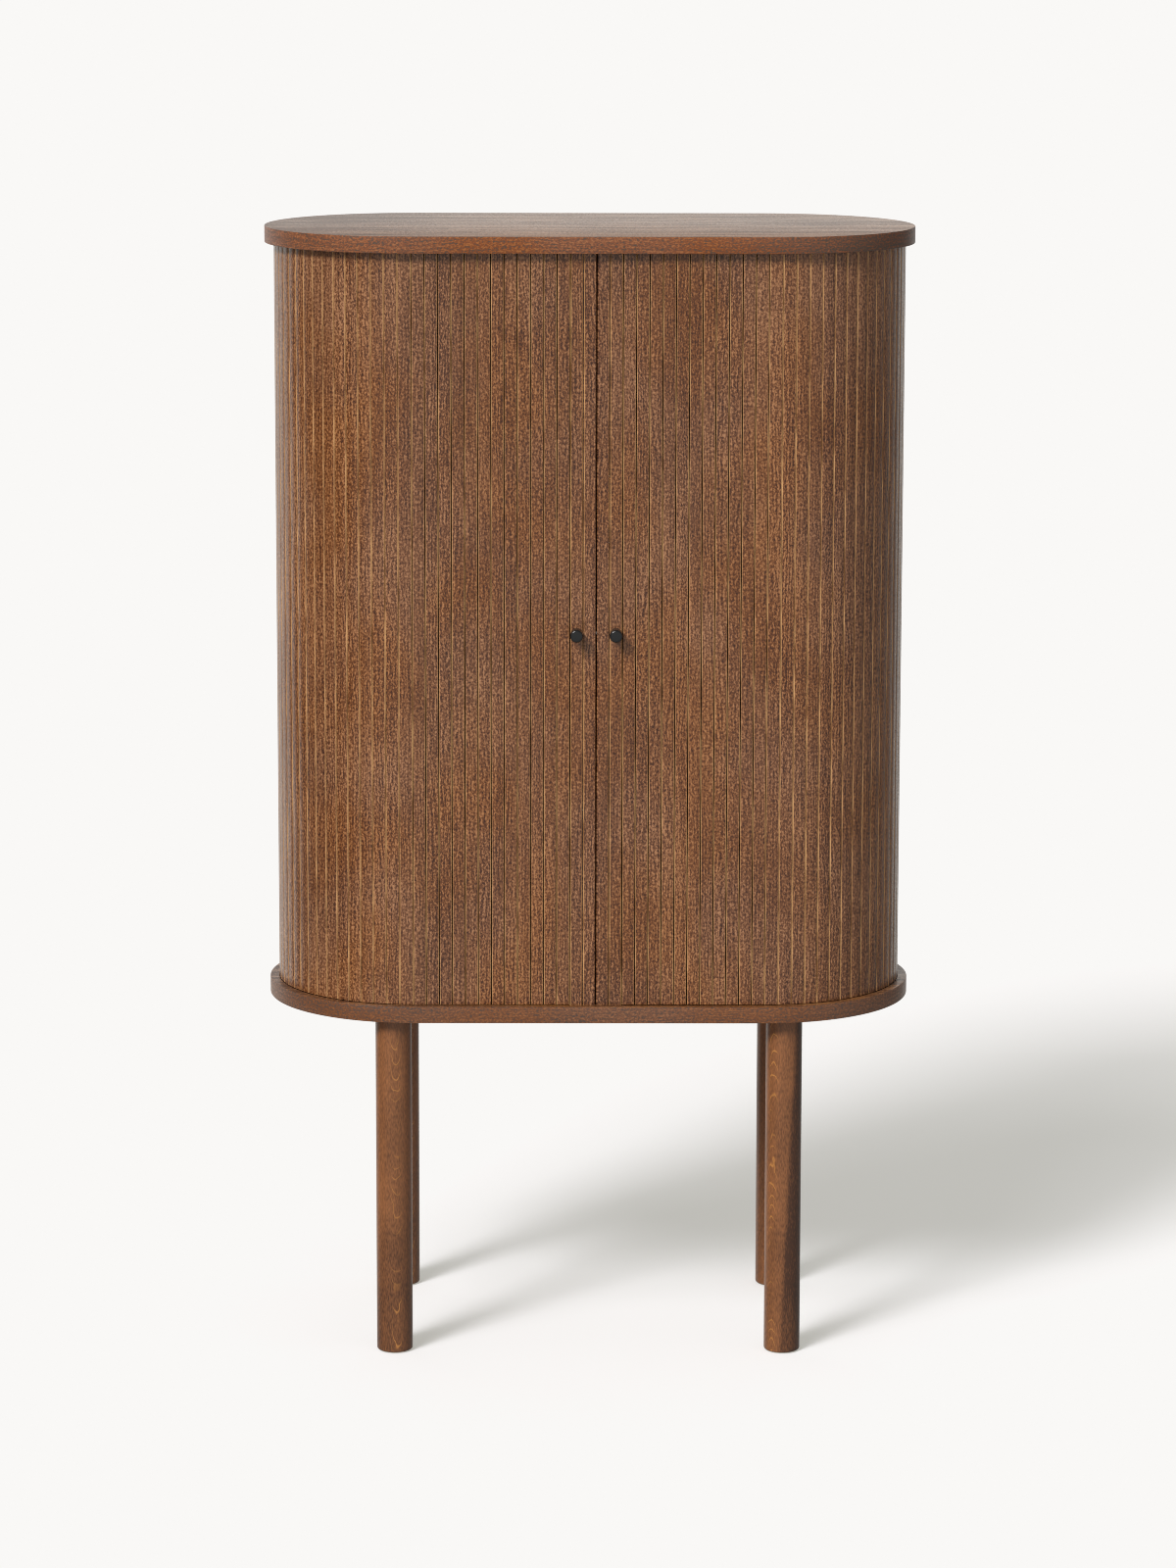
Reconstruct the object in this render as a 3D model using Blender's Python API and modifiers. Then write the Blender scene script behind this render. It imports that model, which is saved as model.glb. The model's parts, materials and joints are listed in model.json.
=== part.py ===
"""A highboard: a cabinet with half-round ends on four legs, closed by two tambour doors.

Run it with blender --background --python part.py, or from Blender's text editor.
X runs along the width, Y along the depth with the front at -Y, and Z up from the floor.
All sizes are in metres.
"""

import math

import bmesh
import bpy
from mathutils import Matrix, Vector

# Overall sizes
overall_height = 1.5
overall_depth = 0.4
floor_to_bottom_plate = 0.46
plate_thickness = 0.022

# What touching pieces keep between them, and how far a cutter runs past what it cuts
fit_gap = 0.0003
cut_overrun = 0.002

# The slats of both doors. A whole number of them makes up the flat front between the round ends
slat_pitch = 0.0172
slat_gap = 0.0013
slat_thickness = 0.007
slat_chamfer = 0.001
canvas_thickness = 0.001
plate_overhang = 0.0125
front_slats = {"left": 14, "right": 13}
slat_end_clearance = 0.0007

# The lead rail of each door: two slats in one rigid piece, with the knob on its second slat
lead_slats = 2
lead_rail_thickness = 0.014
lead_rail_groove_depth = 0.0025
seam_gap = 0.0016

# How deep the back panel and the inner sides are let into both plates
let_in_depth = 0.005

# The track that the doors run in, milled a little deeper, as far round each end as the open door reaches
track_extra_depth = 0.001
track_side_clearance = 0.0006
track_floor_clearance = 0.0008
open_door_reach_share = 0.978
track_reach_share = 0.99

# The knobs and what holds them
knob_diameter = 0.017
knob_length = 0.024
knob_edge_round = 0.0015
knob_taper = 0.00075
screw_diameter = 0.004
screw_head_diameter = 0.008
screw_head_height = 0.0024
screw_in_knob = 0.012

# The magnets in the seam
magnet_diameter = 0.006
magnet_thickness = 0.003
magnet_stand_out = 0.0005

# The bent back panel, outside the doors' path
back_thickness = 0.004
back_clearance = 0.003
back_cover = 0.0095

# The inner sides
inner_side_thickness = 0.016
inner_side_set_in = 0.0112
inner_side_set_back = 0.0225

# The shelves and their pins
shelf_thickness = 0.018
shelf_side_clearance = 0.0005
shelf_names = ("lower", "upper")
pin_diameter = 0.005
pin_in_wall = 0.008
pin_stand_out = 0.008
pin_from_edge = 0.045
pin_hole_pitch = 0.032
spare_holes_each_way = 1

# The legs, their bolts and their glides
leg_diameter = 0.048
leg_from_end = 0.1722
leg_from_edge = 0.045
leg_foot_round = 0.003
bolt_diameter = 0.008
bolt_in_leg = 0.04
bolt_in_plate = 0.014
glide_diameter = 0.026
glide_thickness = 0.005
glide_stand_out = 0.001
glide_edge_round = 0.0006

# How finely round shapes are divided
arc_steps = 40
leg_sides = 24
glide_sides = 16
knob_sides = 20
pin_sides = 12
round_corner_steps = 3

# What follows from the sizes above
end_radius = overall_depth / 2
half_straight = sum(front_slats.values()) * slat_pitch / 2
slat_face = end_radius - plate_overhang
slat_back = slat_face - slat_thickness
canvas_back = slat_back - canvas_thickness
lead_rail_back = slat_face - lead_rail_thickness
track_radius = slat_back - canvas_thickness / 2
track_depth = let_in_depth + track_extra_depth
seam_x = (front_slats["left"] - front_slats["right"]) * slat_pitch / 2
bottom_plate_top = floor_to_bottom_plate + plate_thickness
top_plate_underside = overall_height - plate_thickness
opening_middle = (bottom_plate_top + top_plate_underside) / 2
back_front = slat_face + back_clearance
back_face = back_front + back_thickness
inner_side_front = slat_face - inner_side_set_back
inner_side_outer_x = half_straight - inner_side_set_in
inner_side_inner_x = inner_side_outer_x - inner_side_thickness
knob_reach = slat_face + fit_gap + knob_length
depth_centre = (knob_reach - end_radius) / 2
side_of = {"left": -1, "right": 1}


def clear_scene():
    """Removes every object, so that the file starts from an empty scene."""
    for obj in list(bpy.data.objects):
        bpy.data.objects.remove(obj, do_unlink=True)


def new_collection(name):
    """A collection in the scene."""
    collection = bpy.data.collections.new(name)
    bpy.context.scene.collection.children.link(collection)
    return collection


def linear(hex_colour):
    """The linear colour of six sRGB hex digits, with alpha."""
    channels = [int(hex_colour[i : i + 2], 16) / 255 for i in (0, 2, 4)]
    return [*(c / 12.92 if c <= 0.04045 else ((c + 0.055) / 1.055) ** 2.4 for c in channels), 1]


def new_material(name, hex_colour, roughness, metallic=0):
    """A plain Principled material."""
    material = bpy.data.materials.new(name)
    material.use_nodes = True
    shader = material.node_tree.nodes["Principled BSDF"]
    shader.inputs["Base Color"].default_value = linear(hex_colour)
    shader.inputs["Roughness"].default_value = roughness
    shader.inputs["Metallic"].default_value = metallic
    material.diffuse_color = linear(hex_colour)
    return material


clear_scene()
parts = new_collection("highboard")
cutters = new_collection("highboard_cutters")
centre = bpy.data.objects.new("highboard_centre", None)
centre.location.y = depth_centre
parts.objects.link(centre)

stained_veneer = new_material("stained_veneer", "7a543e", 0.5)
stained_beech = new_material("stained_beech", "7b4a2e", 0.45)
black_lacquer = new_material("black_lacquer", "202222", 0.45)
zinc_steel = new_material("zinc_steel", "b9bbbd", 0.3, 1)
grey_plastic = new_material("grey_plastic", "4a4a4c", 0.6)


def add_part(name, data, material, origin=(0, 0, 0)):
    """A named part whose own origin lies at a place in the cabinet."""
    obj = bpy.data.objects.new(name, data)
    data.materials.append(material)
    obj.parent = centre
    obj.location = origin
    parts.objects.link(obj)
    return obj


def add_cutter(name, data):
    """A helper that is left out of renders and of the model."""
    obj = bpy.data.objects.new(name, data)
    obj.parent = centre
    obj.hide_render = True
    obj.display_type = "WIRE"
    cutters.objects.link(obj)
    return obj


def cut(part, cutter):
    """Takes the cutter's shape out of the part."""
    modifier = part.modifiers.new(cutter.name, "BOOLEAN")
    modifier.operation = "DIFFERENCE"
    modifier.solver = "EXACT"
    modifier.object = cutter


def turns_left(points):
    """True where a plan outline runs anticlockwise."""
    following = points[1:] + points[:1]
    return sum(a[0] * b[1] - b[0] * a[1] for a, b in zip(points, following)) > 0


def outline_curve(name, points, low, high, origin=(0, 0, 0)):
    """A flat outline in plan, raised from one height to another, as a filled curve."""
    if not turns_left(points):
        points = points[::-1]
    curve = bpy.data.curves.new(name, "CURVE")
    curve.dimensions = "2D"
    curve.fill_mode = "BOTH"
    curve.extrude = (high - low) / 2
    spline = curve.splines.new("POLY")
    spline.points.add(len(points) - 1)
    for point, (x, y) in zip(spline.points, points):
        point.co = (x - origin[0], y - origin[1], 0, 1)
    spline.use_cyclic_u = True
    return curve


def outline_part(name, points, low, high, material, origin=(0, 0, 0)):
    """A part of one outline, with its origin at a point in plan."""
    curve = outline_curve(name, points, low, high, origin)
    return add_part(name, curve, material, (origin[0], origin[1], (low + high) / 2))


def outline_mesh(name, points, low, high):
    """The same shape as a closed mesh in its place, for parts and cutters that a Boolean uses."""
    curve = outline_curve(name + "_outline", points, low, high)
    helper = bpy.data.objects.new(name + "_outline", curve)
    bpy.context.scene.collection.objects.link(helper)
    graph = bpy.context.evaluated_depsgraph_get()
    mesh = bpy.data.meshes.new_from_object(helper.evaluated_get(graph))
    bpy.data.objects.remove(helper, do_unlink=True)
    mesh.name = name
    shape = bmesh.new()
    shape.from_mesh(mesh)
    bmesh.ops.remove_doubles(shape, verts=shape.verts, dist=fit_gap / 10)
    bmesh.ops.translate(shape, verts=shape.verts, vec=(0, 0, (low + high) / 2))
    shape.to_mesh(mesh)
    shape.free()
    return mesh


def box_mesh(name, *corner_pairs):
    """One mesh of boxes, each given by its lowest and highest corner."""
    shape = bmesh.new()
    for low, high in corner_pairs:
        low, high = Vector(low), Vector(high)
        place = Matrix.Translation((low + high) / 2) @ Matrix.Diagonal((*(high - low), 1))
        bmesh.ops.create_cube(shape, size=1, matrix=place)
    mesh = bpy.data.meshes.new(name)
    shape.to_mesh(mesh)
    shape.free()
    return mesh


def rod_mesh(name, radius, sides, *end_pairs):
    """One mesh of straight round rods, each given by the middles of its two ends."""
    shape = bmesh.new()
    for start, end in end_pairs:
        start, end = Vector(start), Vector(end)
        run = end - start
        turn = Vector((0, 0, 1)).rotation_difference(run).to_matrix().to_4x4()
        place = Matrix.Translation((start + end) / 2) @ turn
        bmesh.ops.create_cone(
            shape, cap_ends=True, segments=sides, radius1=radius, radius2=radius,
            depth=run.length, matrix=place,
        )
    mesh = bpy.data.meshes.new(name)
    shape.to_mesh(mesh)
    shape.free()
    return mesh


def turned_part(name, profile, sides, material, origin):
    """A turned part: a profile of (radius, height) points, top to bottom, spun round its own Z axis."""
    mesh = bpy.data.meshes.new(name)
    mesh.from_pydata([(r, 0, z) for r, z in profile], [(i, i + 1) for i in range(len(profile) - 1)], [])
    obj = add_part(name, mesh, material, origin)
    spin = obj.modifiers.new("spin", "SCREW")
    spin.axis = "Z"
    spin.steps = sides
    spin.render_steps = sides
    spin.use_merge_vertices = True
    spin.merge_threshold = 0.00001
    spin.use_smooth_shade = True
    return obj


def round_corner(radius, height, corner, upper):
    """Profile points of a rounded outer corner, top to bottom: the upper or the lower one."""
    steps = [i / round_corner_steps * math.pi / 2 for i in range(round_corner_steps + 1)]
    middle = radius - corner
    if upper:
        return [(middle + corner * math.sin(a), height - corner + corner * math.cos(a)) for a in steps]
    return [(middle + corner * math.cos(a), height + corner - corner * math.sin(a)) for a in steps]


def round_end(side, angle, along, radius):
    """Plan point near one end: an angle counted from the flat front, a step along the run, a radius."""
    x = half_straight + radius * math.sin(angle) + along * math.cos(angle)
    return side * x, -radius * math.cos(angle) + along * math.sin(angle)


def front_path(radius, reach):
    """Plan points round the left end, along the front and round the right end, to the same reach."""
    angles = [reach * i / arc_steps for i in range(arc_steps + 1)]
    left = [round_end(side_of["left"], a, 0, radius) for a in reversed(angles)]
    return left + [round_end(side_of["right"], a, 0, radius) for a in angles]


def back_path(radius, start):
    """Plan points round the back, from the angle start on the right end to the same on the left."""
    angles = [start + (math.pi - start) * i / arc_steps for i in range(arc_steps + 1)]
    right = [round_end(side_of["right"], a, 0, radius) for a in angles]
    return right + [round_end(side_of["left"], a, 0, radius) for a in reversed(angles)]


def band(path, inner, outer, angle):
    """The outline of a strip of even width along a path."""
    return path(outer, angle) + path(inner, angle)[::-1]


def door_travel(side):
    """How far a door slides: until its lead rail reaches the round end."""
    return (front_slats[side] - lead_slats) * slat_pitch


def curved_slats(side):
    """How many slats lie round the end while the door is shut."""
    reach = open_door_reach_share * math.pi * track_radius
    return int((reach - door_travel(side)) / slat_pitch)


def slat_outline(half_width, back):
    """Points (along, radius) of one slat seen from above, with chamfered front edges."""
    return [
        (-half_width, back),
        (-half_width, slat_face - slat_chamfer),
        (-half_width + slat_chamfer, slat_face),
        (half_width - slat_chamfer, slat_face),
        (half_width, slat_face - slat_chamfer),
        (half_width, back),
    ]


def lead_rail_outline():
    """Points (distance from the seam, radius) of a lead rail, with a groove between its slats."""
    near = seam_gap / 2
    far = lead_slats * slat_pitch - slat_gap / 2
    points = [(near, lead_rail_back), (near, slat_face - slat_chamfer), (near + slat_chamfer, slat_face)]
    for number in range(1, lead_slats):
        groove = number * slat_pitch
        left, right = groove - slat_gap / 2, groove + slat_gap / 2
        points += [(left - slat_chamfer, slat_face), (left, slat_face - slat_chamfer)]
        points += [(left, slat_face - lead_rail_groove_depth), (right, slat_face - lead_rail_groove_depth)]
        points += [(right, slat_face - slat_chamfer), (right + slat_chamfer, slat_face)]
    points += [(far - slat_chamfer, slat_face), (far, slat_face - slat_chamfer)]
    return points + [(far, lead_rail_back)]


def make_lead_rail(name, side):
    """The rigid leading edge of a door, with a tongue above and below that runs in the track."""
    towards = side_of[side]
    tongue = track_depth - track_floor_clearance
    low, high = bottom_plate_top - tongue, top_plate_underside + tongue
    points = [(seam_x + towards * u, -r) for u, r in lead_rail_outline()]
    rail = add_part(name, outline_mesh(name, points, low, high), stained_veneer)

    near, far = sorted((seam_x, seam_x + towards * (lead_slats * slat_pitch + cut_overrun)))
    near -= cut_overrun
    rear = -lead_rail_back + cut_overrun
    lower_shoulder = bottom_plate_top + slat_end_clearance
    upper_shoulder = top_plate_underside - slat_end_clearance
    shoulders = [
        ((near, -canvas_back, low - cut_overrun), (far, rear, lower_shoulder)),
        ((near, -canvas_back, upper_shoulder), (far, rear, high + cut_overrun)),
    ]
    cut(rail, add_cutter(name + "_shoulders", box_mesh(name + "_shoulders", *shoulders)))

    x = knob_x(side)
    through = ((x, -slat_face - cut_overrun, opening_middle), (x, rear, opening_middle))
    hole = rod_mesh(name + "_screw_hole", screw_diameter / 2 + fit_gap, pin_sides, through)
    cut(rail, add_cutter(name + "_screw_hole", hole))

    edge = seam_x + towards * seam_gap / 2
    mouth = edge - towards * cut_overrun
    floor = edge + towards * (magnet_thickness - magnet_stand_out + fit_gap)
    pocket = ((mouth, magnet_y(), opening_middle), (floor, magnet_y(), opening_middle))
    hollow = rod_mesh(name + "_magnet_pocket", magnet_diameter / 2 + fit_gap, knob_sides, pocket)
    cut(rail, add_cutter(name + "_magnet_pocket", hollow))
    return rail


def knob_x(side):
    """The knob stands in the middle of the lead rail's last slat."""
    return seam_x + side_of[side] * (lead_slats - 1 / 2) * slat_pitch


def magnet_y():
    """The magnets lie in the middle of the lead rails' thickness."""
    return -(slat_face + lead_rail_back) / 2


def make_knob(name, side):
    """A plain turned knob, with a blind hole for its screw."""
    top, bore = knob_length, screw_diameter / 2 + fit_gap
    bore_depth = screw_in_knob + fit_gap
    profile = [(0, top)]
    profile += round_corner(knob_diameter / 2, top, knob_edge_round, True)
    profile += [(knob_diameter / 2 - knob_taper, 0), (bore, 0), (bore, bore_depth), (0, bore_depth)]
    origin = (knob_x(side), -slat_face - fit_gap, opening_middle)
    knob = turned_part(name, profile, knob_sides, black_lacquer, origin)
    knob.rotation_euler.x = math.pi / 2
    return knob


def make_knob_screw(name, side):
    """The screw that holds a knob, put in from behind the lead rail."""
    shank, head = screw_diameter / 2, screw_head_diameter / 2
    length = lead_rail_thickness + 2 * fit_gap + screw_in_knob
    profile = [(0, length), (shank, length), (shank, 0)]
    profile += [(head, 0), (head, -screw_head_height), (0, -screw_head_height)]
    origin = (knob_x(side), -lead_rail_back + fit_gap, opening_middle)
    screw = turned_part(name, profile, pin_sides, zinc_steel, origin)
    screw.rotation_euler.x = math.pi / 2
    return screw


def make_magnet(name, side):
    """A disc magnet let into the edge of a lead rail."""
    towards = side_of[side]
    start = seam_x + towards * (seam_gap / 2 - magnet_stand_out)
    end = start + towards * magnet_thickness
    ends = ((start, magnet_y(), opening_middle), (end, magnet_y(), opening_middle))
    return add_part(name, rod_mesh(name, magnet_diameter / 2, knob_sides, ends), zinc_steel)


def make_front_slat(name, side, place):
    """One slat of the flat front. Its origin is the point that its move round the end turns about."""
    towards = side_of[side]
    to_end = (front_slats[side] - place + 1 / 2) * slat_pitch
    turn = (door_travel(side) - to_end) / track_radius
    pole = (towards * (half_straight - to_end / 2), to_end / 2 / math.tan(turn / 2))
    middle = towards * (half_straight - to_end)
    points = [(middle + t, -r) for t, r in slat_outline((slat_pitch - slat_gap) / 2, canvas_back)]
    low, high = bottom_plate_top + slat_end_clearance, top_plate_underside - slat_end_clearance
    return outline_part(name, points, low, high, stained_veneer, pole)


def make_curved_run(name, side):
    """The slats round one end, joined by the canvas behind them. Its origin is the end's own centre."""
    towards = side_of[side]
    half_width = (slat_pitch - slat_gap) / 2
    middles = [(i + 1 / 2) * slat_pitch / track_radius for i in range(curved_slats(side))]
    points = [round_end(towards, a, t, r) for a in middles for t, r in slat_outline(half_width, slat_back)]
    canvas = [round_end(towards, a, t, canvas_back) for a in middles for t in (-half_width, half_width)]
    points += canvas[::-1]
    tongue = track_depth - track_floor_clearance
    low, high = bottom_plate_top - tongue, top_plate_underside + tongue
    return outline_part(name, points, low, high, stained_veneer, (towards * half_straight, 0))


def make_door(side):
    """One tambour door with its knob, screw and magnet."""
    make_lead_rail(side + "_lead_rail", side)
    make_knob(side + "_knob", side)
    make_knob_screw(side + "_knob_screw", side)
    make_magnet(side + "_magnet", side)
    for place in range(lead_slats + 1, front_slats[side] + 1):
        make_front_slat(f"{side}_slat_{place:02d}", side, place)
    make_curved_run(side + "_curved_slats", side)


def back_start():
    """The angle round each end where the back panel starts, a little under the shut doors' last slats."""
    shut_reach = min(curved_slats(side) for side in front_slats) * slat_pitch
    return (shut_reach - back_cover) / track_radius


def make_plate(name, low, inner_face, into):
    """The top or bottom plate, with the track, the back's groove and the housings in its inner face."""
    edge = front_path(end_radius, math.pi)
    plate = add_part(name, outline_mesh(name, edge, low, low + plate_thickness), stained_veneer)

    def heights(depth):
        return sorted((inner_face - into * cut_overrun, inner_face + into * depth))

    def mill(cutter_name, points, depth):
        cut(plate, add_cutter(cutter_name, outline_mesh(cutter_name, points, *heights(depth))))

    inner, outer = canvas_back - track_side_clearance, slat_face + track_side_clearance
    mill(name + "_track", band(front_path, inner, outer, math.pi * track_reach_share), track_depth)

    start = back_start() - fit_gap / back_front
    groove = band(back_path, back_front - fit_gap, back_face + fit_gap, start)
    mill(name + "_back_groove", groove, let_in_depth)

    floor, mouth = heights(let_in_depth)
    behind = back_front + back_thickness / 2
    near, far = inner_side_inner_x - fit_gap, inner_side_outer_x + fit_gap
    front = -inner_side_front - fit_gap
    housings = [
        ((near, front, floor), (far, behind, mouth)),
        ((-far, front, floor), (-near, behind, mouth)),
    ]
    cut(plate, add_cutter(name + "_housings", box_mesh(name + "_housings", *housings)))
    return plate


def leg_places():
    """The name and plan position of each leg."""
    x = half_straight + end_radius - leg_from_end
    y = end_radius - leg_from_edge
    return {
        "front_left": (-x, -y),
        "front_right": (x, -y),
        "rear_left": (-x, y),
        "rear_right": (x, y),
    }


def make_top_plate():
    return make_plate("top_plate", top_plate_underside, top_plate_underside, 1)


def make_bottom_plate():
    """The bottom plate, with a hole from below for each leg's bolt."""
    plate = make_plate("bottom_plate", floor_to_bottom_plate, bottom_plate_top, -1)
    low = floor_to_bottom_plate - cut_overrun
    high = floor_to_bottom_plate + bolt_in_plate + fit_gap
    ends = [((x, y, low), (x, y, high)) for x, y in leg_places().values()]
    holes = rod_mesh("leg_bolt_holes", bolt_diameter / 2 + fit_gap, pin_sides, *ends)
    cut(plate, add_cutter("leg_bolt_holes", holes))
    return plate


def make_back_panel():
    """Thin bent plywood across the back and part of the way round both ends."""
    reach = let_in_depth - fit_gap
    points = band(back_path, back_front, back_face, back_start())
    low, high = bottom_plate_top - reach, top_plate_underside + reach
    return outline_part("back_panel", points, low, high, stained_veneer)


def shelf_underside(number):
    """The shelves share the opening out evenly."""
    step = (top_plate_underside - bottom_plate_top) / (len(shelf_names) + 1)
    return bottom_plate_top + (number + 1) * step - shelf_thickness / 2


def shelf_edges():
    """The front and rear edge of the shelves in Y."""
    return -inner_side_front, back_front - fit_gap


def pin_height(number):
    """A shelf lies on its pins."""
    return shelf_underside(number) - fit_gap - pin_diameter / 2


def pin_rows():
    """The Y of the front and rear row of pin holes."""
    front, rear = shelf_edges()
    return {"front": front + pin_from_edge, "rear": rear - pin_from_edge}


def make_inner_side(side):
    """An upright let into both plates, with rows of holes for the shelf pins."""
    name = side + "_inner_side"
    towards = side_of[side]
    reach = let_in_depth - fit_gap
    near, far = sorted((towards * inner_side_inner_x, towards * inner_side_outer_x))
    low = (near, -inner_side_front, bottom_plate_top - reach)
    high = (far, back_front - fit_gap, top_plate_underside + reach)
    panel = add_part(name, box_mesh(name, (low, high)), stained_veneer)
    mouth = towards * (inner_side_inner_x - cut_overrun)
    floor = towards * (inner_side_inner_x + pin_in_wall + fit_gap)
    spare = range(-spare_holes_each_way, spare_holes_each_way + 1)
    heights = [pin_height(n) + k * pin_hole_pitch for n in range(len(shelf_names)) for k in spare]
    ends = [((mouth, y, z), (floor, y, z)) for y in pin_rows().values() for z in heights]
    holes = rod_mesh(name + "_pin_holes", pin_diameter / 2 + fit_gap, pin_sides, *ends)
    cut(panel, add_cutter(name + "_pin_holes", holes))
    return panel


def make_shelf(number):
    """A loose shelf between the inner sides."""
    front, rear = shelf_edges()
    half_width = inner_side_inner_x - shelf_side_clearance
    low = shelf_underside(number)
    name = shelf_names[number] + "_shelf"
    corners = (-half_width, front, low), (half_width, rear, low + shelf_thickness)
    return add_part(name, box_mesh(name, corners), stained_veneer)


def make_shelf_pin(number, side, row):
    """One pin, half in the inner side and half under its shelf."""
    towards = side_of[side]
    y, z = pin_rows()[row], pin_height(number)
    start = towards * (inner_side_inner_x + pin_in_wall)
    end = towards * (inner_side_inner_x - pin_stand_out)
    name = f"{shelf_names[number]}_pin_{row}_{side}"
    rod = rod_mesh(name, pin_diameter / 2, pin_sides, ((start, y, z), (end, y, z)))
    return add_part(name, rod, zinc_steel)


def make_leg(name, x, y):
    """A turned leg with a hole for its bolt at the top and a recess for its glide below."""
    foot, top, radius = glide_stand_out, floor_to_bottom_plate - fit_gap, leg_diameter / 2
    bore, bore_floor = bolt_diameter / 2 + fit_gap, floor_to_bottom_plate - bolt_in_leg - fit_gap
    recess, recess_top = glide_diameter / 2 + fit_gap, glide_thickness + fit_gap
    profile = [(0, bore_floor), (bore, bore_floor), (bore, top), (radius, top)]
    profile += round_corner(radius, foot, leg_foot_round, False)
    profile += [(recess, foot), (recess, recess_top), (0, recess_top)]
    return turned_part(name + "_leg", profile, leg_sides, stained_beech, (x, y, 0))


def make_leg_bolt(name, x, y):
    """A hanger bolt, one half in the leg and one in the bottom plate."""
    low, high = floor_to_bottom_plate - bolt_in_leg, floor_to_bottom_plate + bolt_in_plate
    rod = rod_mesh(name + "_leg_bolt", bolt_diameter / 2, pin_sides, ((x, y, low), (x, y, high)))
    return add_part(name + "_leg_bolt", rod, zinc_steel)


def make_glide(name, x, y):
    """A hard glide let into the foot, which the cabinet stands on."""
    radius = glide_diameter / 2
    profile = [(0, glide_thickness), (radius, glide_thickness)]
    profile += round_corner(radius, 0, glide_edge_round, False)
    profile += [(0, 0)]
    return turned_part(name + "_glide", profile, glide_sides, grey_plastic, (x, y, 0))


def make_shelves():
    """Both shelves on their pins."""
    for number in range(len(shelf_names)):
        make_shelf(number)
        for side in side_of:
            for row in pin_rows():
                make_shelf_pin(number, side, row)


def make_legs():
    """Four legs, each with its bolt and its glide."""
    for name, (x, y) in leg_places().items():
        make_leg(name, x, y)
        make_leg_bolt(name, x, y)
        make_glide(name, x, y)


make_top_plate()
make_bottom_plate()
make_back_panel()
for side_name in side_of:
    make_inner_side(side_name)
    make_door(side_name)
make_shelves()
make_legs()
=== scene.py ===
# %% [markdown]
# # A highboard with two tambour doors
#
# The cabinet is a stadium in plan: flat at the front and back, half round at both ends. Its doors are
# rows of narrow slats glued to canvas, which slide sideways and run round the ends in a track. The packed
# model gives the places and the joints, and this file gives the surfaces. It dresses the wooden nodes and
# the knobs with finer edges and with grain that follows each piece, gives the small parts their finish,
# and sets up the studio's light.

import json
import math

import bmesh
import bpy
from mathutils import Matrix, Vector

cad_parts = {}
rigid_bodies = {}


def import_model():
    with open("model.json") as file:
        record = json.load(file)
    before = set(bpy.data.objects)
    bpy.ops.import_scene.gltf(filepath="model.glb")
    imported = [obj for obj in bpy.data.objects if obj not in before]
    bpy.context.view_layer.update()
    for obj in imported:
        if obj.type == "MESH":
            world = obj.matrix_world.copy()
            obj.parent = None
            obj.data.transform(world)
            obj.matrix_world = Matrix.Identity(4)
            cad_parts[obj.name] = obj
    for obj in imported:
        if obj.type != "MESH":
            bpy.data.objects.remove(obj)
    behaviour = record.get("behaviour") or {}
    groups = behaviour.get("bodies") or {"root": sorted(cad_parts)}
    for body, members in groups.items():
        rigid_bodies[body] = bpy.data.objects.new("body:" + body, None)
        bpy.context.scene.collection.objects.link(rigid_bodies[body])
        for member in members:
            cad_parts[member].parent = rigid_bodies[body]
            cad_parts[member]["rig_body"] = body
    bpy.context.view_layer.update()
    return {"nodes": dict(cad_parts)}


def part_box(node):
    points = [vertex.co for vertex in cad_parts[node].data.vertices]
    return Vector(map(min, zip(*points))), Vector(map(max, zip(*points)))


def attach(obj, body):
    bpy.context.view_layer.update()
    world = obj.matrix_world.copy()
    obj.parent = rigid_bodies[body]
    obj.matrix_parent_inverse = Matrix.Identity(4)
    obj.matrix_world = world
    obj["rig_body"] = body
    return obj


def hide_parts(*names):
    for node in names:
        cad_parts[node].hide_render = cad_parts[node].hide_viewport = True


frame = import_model()

# %% [markdown]
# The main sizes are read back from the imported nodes. The round ends have their centres on the line
# `centre_y`, at `half_straight` to the left and the right. A packed slat is 8 mm thick, of which the last
# millimetre is its canvas, and the middle of the canvas runs along the middle of the track.

# %% Read the main sizes
plate_low, plate_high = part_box("top_plate")
end_radius = (plate_high.y - plate_low.y) / 2
half_straight = plate_high.x - end_radius
centre_y = (plate_low.y + plate_high.y) / 2
slat_low, slat_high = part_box("left_slat_05")
slat_width = slat_high.x - slat_low.x
slat_pitch = slat_low.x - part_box("left_slat_06")[0].x
slat_face = centre_y - slat_low.y
slat_thickness = 0.007
canvas_middle = 0.0005
track_radius = centre_y - slat_high.y + canvas_middle
sides = {"left": -1, "right": 1}
print(f"end radius {end_radius:.4f} m, slat {slat_width:.4f} m wide at a pitch of {slat_pitch:.4f} m")

# %% [markdown]
# ## Colours and nodes
#
# A colour is written as the hex value that a screen shows. Blender's sockets hold linear light, so one
# function converts it. Another adds a node: its settings are keywords, and its inputs are values or the
# outputs of other nodes. A third starts an empty material.


# %% Three helpers for materials
def linear(hex_colour):
    """Linear red, green, blue and alpha of a hex colour."""
    channels = [int(hex_colour[i : i + 2], 16) / 255 for i in (0, 2, 4)]
    return [*(c / 12.92 if c <= 0.04045 else ((c + 0.055) / 1.055) ** 2.4 for c in channels), 1]


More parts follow.
